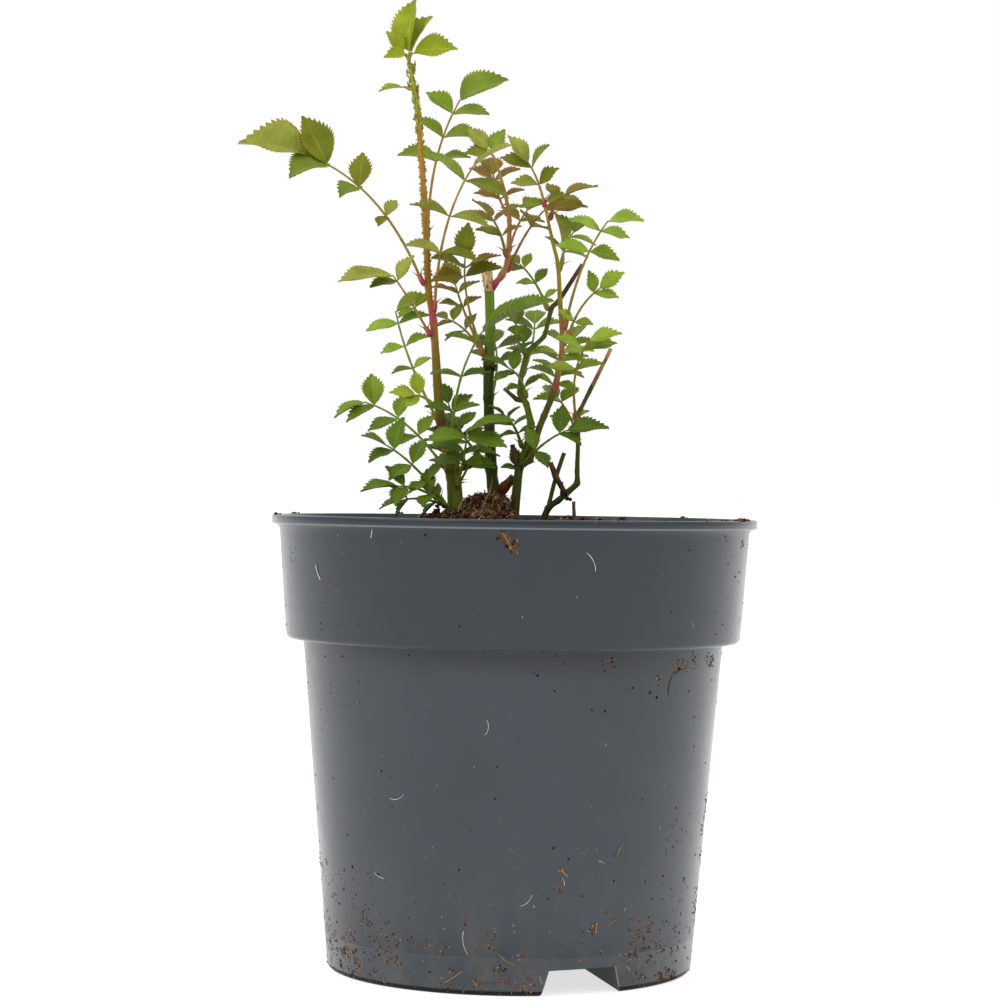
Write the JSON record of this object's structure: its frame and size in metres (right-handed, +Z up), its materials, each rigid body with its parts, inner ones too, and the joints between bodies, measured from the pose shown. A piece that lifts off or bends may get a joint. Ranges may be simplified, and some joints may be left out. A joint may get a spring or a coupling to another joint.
{
  "type": "potted rose bush",
  "caption": "Young rose bush in a round plastic nursery pot: pruned thorny canes leafing out again from dark potting soil.",
  "frame": {"origin": "middle of the pot's flat underside, on the surface it stands on", "axes": "+Z up along the pot's axis; +X to the right and -Y to the front, the side that the picture shows"},
  "size_m": [0.2029, 0.1904, 0.3792],
  "materials": {
    "pot_plastic": "slate grey moulded plastic with a soft shine, dusty and specked with soil near the foot",
    "potting_soil": "dark peat with bark chips and root fibres",
    "green_bark": "smooth dark green cane bark",
    "young_bark": "olive to red-brown young bark with fine thorns",
    "dead_bark": "dry brown bark of pruned stubs with pale cut ends",
    "foliage": "satin green compound leaves with toothed leaflets"
  },
  "bodies": {
    "root": {"cane_left": "young_bark", "cane_middle": "green_bark", "cane_olive": "young_bark", "cane_right": "green_bark", "cane_zigzag": "green_bark", "leaf_crown_low": "foliage", "leaf_foot_back": "foliage", "leaf_inner_high": "foliage", "leaf_inner_middle": "foliage", "leaf_left_arch": "foliage", "leaf_left_high": "foliage", "leaf_left_long": "foliage", "leaf_left_low": "foliage", "leaf_left_yellow": "foliage", "leaf_middle_back": "foliage", "leaf_middle_long": "foliage", "leaf_middle_low": "foliage", "leaf_olive_blade": "foliage", "leaf_olive_bronze": "foliage", "leaf_olive_top": "foliage", "leaf_red_back": "foliage", "leaf_red_dark": "foliage", "leaf_red_left": "foliage", "leaf_red_right": "foliage", "leaf_red_top": "foliage", "leaf_right_back": "foliage", "leaf_right_bright": "foliage", "leaf_right_high": "foliage", "leaf_right_inner": "foliage", "leaf_right_joint": "foliage", "leaf_right_level": "foliage", "leaf_right_light": "foliage", "leaf_right_low": "foliage", "leaf_sprout": "foliage", "leaf_zigzag_back": "foliage", "leaf_zigzag_high": "foliage", "leaf_zigzag_left": "foliage", "leaf_zigzag_low": "foliage", "leaf_zigzag_middle": "foliage", "leaves_crown": "foliage", "leaves_foot_front": "foliage", "leaves_foot_left": "foliage", "leaves_middle_shoot": "foliage", "pot": "pot_plastic", "shoot_olive": "young_bark", "shoot_red": "young_bark", "soil": "potting_soil", "sprout_middle": "dead_bark", "stub_far": "dead_bark", "stub_middle": "dead_bark", "stub_right": "dead_bark", "stub_right_dead": "dead_bark", "stub_right_inner": "green_bark", "stub_zigzag_high": "dead_bark", "stub_zigzag_low": "dead_bark"}
  },
  "joints": []
}
